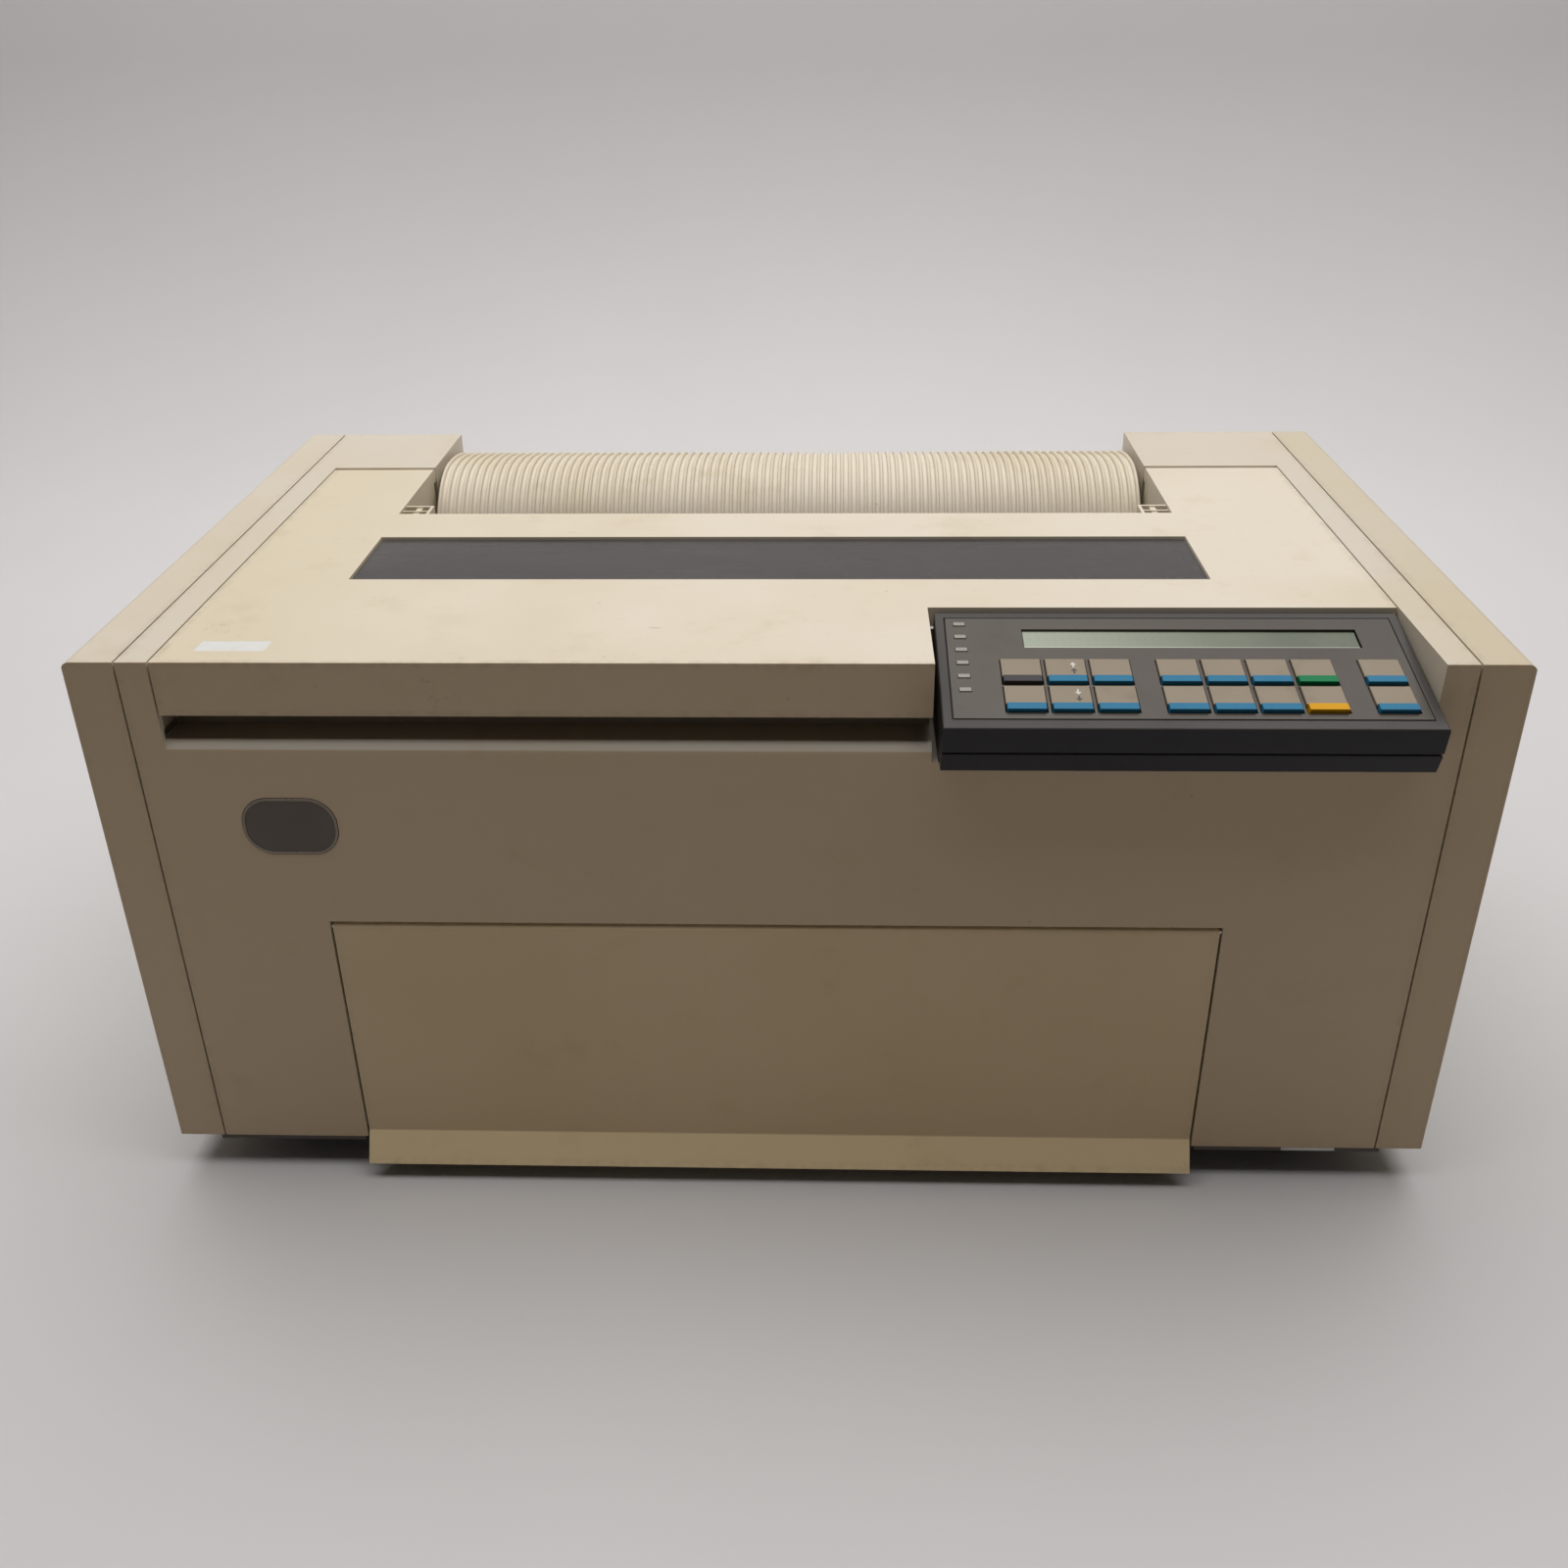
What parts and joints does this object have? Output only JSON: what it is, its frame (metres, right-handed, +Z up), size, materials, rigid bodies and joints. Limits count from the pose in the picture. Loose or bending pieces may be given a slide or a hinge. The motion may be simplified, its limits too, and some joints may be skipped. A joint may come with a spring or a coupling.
{
  "type": "dot matrix printer",
  "caption": "Wide desktop impact printer with a hinged hood, tilted key panel, ribbed rear paper guide, swing-out front door and working paper feed, carriage and tractors.",
  "frame": {"origin": "on the floor under the middle of the machine's width and depth", "axes": "+X to the printer's right as its user faces it, +Y from front to back, +Z up"},
  "size_m": [0.616, 0.369, 0.2785],
  "materials": {
    "base_paint": "satin, slightly scuffed",
    "foot_rubber": "matte",
    "cover_plastic": "fine texture, yellowed",
    "door_plastic": "fine texture, yellowed",
    "hood_plastic": "fine texture, yellowed",
    "smoked_window": "gloss, smoked",
    "hinge_steel": "ground",
    "badge_metal": "satin, dark anodised",
    "panel_plastic": "fine texture",
    "panel_base_plastic": "fine texture",
    "faceplate_film": "satin film",
    "display_glass": "gloss",
    "circuit_board": "satin solder mask",
    "frame_steel": "zinc plated",
    "carriage_plastic": "satin",
    "print_head_alloy": "cast, black anodised",
    "belt_rubber": "matte",
    "platen_rubber": "ground, satin",
    "motor_case": "satin",
    "gear_plastic": "satin acetal",
    "pinion_brass": "machined",
    "control_plastic": "satin",
    "key_plastic": "satin, worn",
    "dark_key_plastic": "satin, worn",
    "green_key_plastic": "satin, worn",
    "yellow_key_plastic": "satin, worn"
  },
  "bodies": {
    "printer_body": {"base_pan": "base_paint", "feet": "foot_rubber", "main_cover": "cover_plastic", "left_side_cover": "cover_plastic", "right_side_cover": "cover_plastic", "hinge_pins": "hinge_steel", "rear_paper_guide": "hood_plastic", "badge": "badge_metal", "panel_lower_case": "panel_base_plastic", "panel_upper_case": "panel_plastic", "panel_faceplate": "faceplate_film", "display": "display_glass", "control_board": "circuit_board", "print_frame": "frame_steel", "guide_rods": "hinge_steel", "carriage_motor": "motor_case", "carriage_belt": "belt_rubber", "feed_motor": "motor_case", "ribbon_cartridge": "carriage_plastic", "power_supply": "frame_steel", "logic_board": "circuit_board", "rear_panel": "frame_steel", "case_screws": "hinge_steel"},
    "hood_assembly": {"hood": "hood_plastic", "hood_window": "smoked_window"},
    "front_door": {"front_door": "door_plastic"},
    "carriage_assembly": {"carriage": "carriage_plastic", "print_head": "print_head_alloy"},
    "drive_pulley": {"drive_pulley": "hinge_steel"},
    "idler_pulley": {"idler_pulley": "hinge_steel"},
    "platen_roller": {"platen": "platen_rubber", "platen_gear": "gear_plastic"},
    "idler_gear": {"idler_gear": "gear_plastic"},
    "feed_pinion": {"feed_pinion": "pinion_brass"},
    "tractor_shaft": {"tractor_shaft": "hinge_steel"},
    "left_tractor": {"left_tractor": "carriage_plastic"},
    "right_tractor": {"right_tractor": "carriage_plastic"},
    "left_tractor_lid": {"left_tractor_lid": "carriage_plastic"},
    "right_tractor_lid": {"right_tractor_lid": "carriage_plastic"},
    "paper_bail": {"paper_bail": "hinge_steel"},
    "thickness_lever": {"thickness_lever": "control_plastic"},
    "ribbon_knob": {"ribbon_knob": "control_plastic"},
    "fan_rotor": {"fan_rotor": "carriage_plastic"},
    "power_switch": {"power_switch": "carriage_plastic"},
    "key_menu": {"key_menu": "dark_key_plastic"},
    "key_scroll_up": {"key_scroll_up": "key_plastic"},
    "key_enter": {"key_enter": "key_plastic"},
    "key_hex_print": {"key_hex_print": "key_plastic"},
    "key_line_feed": {"key_line_feed": "key_plastic"},
    "key_form_feed": {"key_form_feed": "key_plastic"},
    "key_start": {"key_start": "green_key_plastic"},
    "key_cancel": {"key_cancel": "key_plastic"},
    "key_reference": {"key_reference": "key_plastic"},
    "key_scroll_down": {"key_scroll_down": "key_plastic"},
    "key_return": {"key_return": "key_plastic"},
    "key_interface": {"key_interface": "key_plastic"},
    "key_load": {"key_load": "key_plastic"},
    "key_top_of_form": {"key_top_of_form": "key_plastic"},
    "key_stop": {"key_stop": "yellow_key_plastic"},
    "key_test": {"key_test": "key_plastic"}
  },
  "joints": [
    {"name": "hood_hinge", "type": "hinge", "parent": "printer_body", "child": "hood_assembly", "pos_m": [0, 0.1093, 0.2747], "axis": [-1, 0, 0], "range_deg": [0, 95]},
    {"name": "door_hinge", "type": "hinge", "parent": "printer_body", "child": "front_door", "pos_m": [-0.0084, -0.1619, 0.1447], "axis": [-1, 0, 0], "range_deg": [0, 90]},
    {"name": "carriage_slide", "type": "slide", "parent": "printer_body", "child": "carriage_assembly", "axis": [1, 0, 0], "range_m": [-0.155, 0.155]},
    {"name": "drive_pulley_spin", "type": "hinge", "parent": "printer_body", "child": "drive_pulley", "pos_m": [-0.25565, -0.0485, 0.1535], "axis": [0, 0, 1], "range_deg": [-1040, 1040]},
    {"name": "idler_pulley_spin", "type": "hinge", "parent": "printer_body", "child": "idler_pulley", "pos_m": [0.19635, -0.0485, 0.1535], "axis": [0, 0, 1], "range_deg": [-1040, 1040]},
    {"name": "platen_spin", "type": "hinge", "parent": "printer_body", "child": "platen_roller", "pos_m": [-0.0084, 0.0135, 0.196], "axis": [1, 0, 0], "continuous": true},
    {"name": "idler_gear_spin", "type": "hinge", "parent": "printer_body", "child": "idler_gear", "pos_m": [0.21935, -0.01668, 0.14241], "axis": [1, 0, 0], "continuous": true},
    {"name": "feed_pinion_spin", "type": "hinge", "parent": "printer_body", "child": "feed_pinion", "pos_m": [0.21935, 0.02138, 0.12856], "axis": [1, 0, 0], "continuous": true},
    {"name": "tractor_shaft_spin", "type": "hinge", "parent": "printer_body", "child": "tractor_shaft", "pos_m": [-0.0084, -0.06698, 0.1097], "axis": [1, 0, 0], "continuous": true},
    {"name": "left_tractor_slide", "type": "slide", "parent": "printer_body", "child": "left_tractor", "axis": [1, 0, 0], "range_m": [0, 0.1]},
    {"name": "right_tractor_slide", "type": "slide", "parent": "printer_body", "child": "right_tractor", "axis": [1, 0, 0], "range_m": [-0.25, 0]},
    {"name": "left_lid_hinge", "type": "hinge", "parent": "left_tractor", "child": "left_tractor_lid", "pos_m": [-0.20005, -0.11539, 0.09167], "axis": [0, -0.8192, -0.5736], "range_deg": [0, 110]},
    {"name": "right_lid_hinge", "type": "hinge", "parent": "right_tractor", "child": "right_tractor_lid", "pos_m": [0.18325, -0.11539, 0.09167], "axis": [0, 0.8192, 0.5736], "range_deg": [0, 110]},
    {"name": "bail_hinge", "type": "hinge", "parent": "printer_body", "child": "paper_bail", "pos_m": [-0.0084, -0.0225, 0.186], "axis": [1, 0, 0], "range_deg": [0, 25]},
    {"name": "thickness_lever_hinge", "type": "hinge", "parent": "printer_body", "child": "thickness_lever", "pos_m": [0.20735, -0.0665, 0.172], "axis": [1, 0, 0], "range_deg": [-10, 14]},
    {"name": "ribbon_knob_spin", "type": "hinge", "parent": "printer_body", "child": "ribbon_knob", "pos_m": [-0.16365, -0.0875, 0.219], "axis": [0, 0, 1], "continuous": true},
    {"name": "fan_spin", "type": "hinge", "parent": "printer_body", "child": "fan_rotor", "pos_m": [0.13385, 0.1565, 0.0605], "axis": [0, 1, 0], "continuous": true},
    {"name": "power_switch_rocker", "type": "hinge", "parent": "printer_body", "child": "power_switch", "pos_m": [0.02785, 0.1748, 0.0745], "axis": [1, 0, 0], "range_deg": [0, 16]},
    {"name": "key_menu_press", "type": "slide", "parent": "printer_body", "child": "key_menu", "axis": [0, 0.2164, -0.9763], "range_m": [0, 0.0016], "stiffness_N_per_m": 150, "springref_m": -0.0015},
    {"name": "key_scroll_up_press", "type": "slide", "parent": "printer_body", "child": "key_scroll_up", "axis": [0, 0.2164, -0.9763], "range_m": [0, 0.0016], "stiffness_N_per_m": 150, "springref_m": -0.0015},
    {"name": "key_enter_press", "type": "slide", "parent": "printer_body", "child": "key_enter", "axis": [0, 0.2164, -0.9763], "range_m": [0, 0.0016], "stiffness_N_per_m": 150, "springref_m": -0.0015},
    {"name": "key_hex_print_press", "type": "slide", "parent": "printer_body", "child": "key_hex_print", "axis": [0, 0.2164, -0.9763], "range_m": [0, 0.0016], "stiffness_N_per_m": 150, "springref_m": -0.0015},
    {"name": "key_line_feed_press", "type": "slide", "parent": "printer_body", "child": "key_line_feed", "axis": [0, 0.2164, -0.9763], "range_m": [0, 0.0016], "stiffness_N_per_m": 150, "springref_m": -0.0015},
    {"name": "key_form_feed_press", "type": "slide", "parent": "printer_body", "child": "key_form_feed", "axis": [0, 0.2164, -0.9763], "range_m": [0, 0.0016], "stiffness_N_per_m": 150, "springref_m": -0.0015},
    {"name": "key_start_press", "type": "slide", "parent": "printer_body", "child": "key_start", "axis": [0, 0.2164, -0.9763], "range_m": [0, 0.0016], "stiffness_N_per_m": 150, "springref_m": -0.0015},
    {"name": "key_cancel_press", "type": "slide", "parent": "printer_body", "child": "key_cancel", "axis": [0, 0.2164, -0.9763], "range_m": [0, 0.0016], "stiffness_N_per_m": 150, "springref_m": -0.0015},
    {"name": "key_reference_press", "type": "slide", "parent": "printer_body", "child": "key_reference", "axis": [0, 0.2164, -0.9763], "range_m": [0, 0.0016], "stiffness_N_per_m": 150, "springref_m": -0.0015},
    {"name": "key_scroll_down_press", "type": "slide", "parent": "printer_body", "child": "key_scroll_down", "axis": [0, 0.2164, -0.9763], "range_m": [0, 0.0016], "stiffness_N_per_m": 150, "springref_m": -0.0015},
    {"name": "key_return_press", "type": "slide", "parent": "printer_body", "child": "key_return", "axis": [0, 0.2164, -0.9763], "range_m": [0, 0.0016], "stiffness_N_per_m": 150, "springref_m": -0.0015},
    {"name": "key_interface_press", "type": "slide", "parent": "printer_body", "child": "key_interface", "axis": [0, 0.2164, -0.9763], "range_m": [0, 0.0016], "stiffness_N_per_m": 150, "springref_m": -0.0015},
    {"name": "key_load_press", "type": "slide", "parent": "printer_body", "child": "key_load", "axis": [0, 0.2164, -0.9763], "range_m": [0, 0.0016], "stiffness_N_per_m": 150, "springref_m": -0.0015},
    {"name": "key_top_of_form_press", "type": "slide", "parent": "printer_body", "child": "key_top_of_form", "axis": [0, 0.2164, -0.9763], "range_m": [0, 0.0016], "stiffness_N_per_m": 150, "springref_m": -0.0015},
    {"name": "key_stop_press", "type": "slide", "parent": "printer_body", "child": "key_stop", "axis": [0, 0.2164, -0.9763], "range_m": [0, 0.0016], "stiffness_N_per_m": 150, "springref_m": -0.0015},
    {"name": "key_test_press", "type": "slide", "parent": "printer_body", "child": "key_test", "axis": [0, 0.2164, -0.9763], "range_m": [0, 0.0016], "stiffness_N_per_m": 150, "springref_m": -0.0015}
  ],
  "couplings": [
    {"joint": "drive_pulley_spin", "follows": "carriage_slide", "rad_per_m": 116.28},
    {"joint": "idler_pulley_spin", "follows": "carriage_slide", "rad_per_m": 116.28},
    {"joint": "idler_gear_spin", "follows": "platen_spin", "ratio": -0.95238},
    {"joint": "feed_pinion_spin", "follows": "platen_spin", "ratio": 3.3333},
    {"joint": "tractor_shaft_spin", "follows": "platen_spin", "ratio": 1.0526}
  ]
}
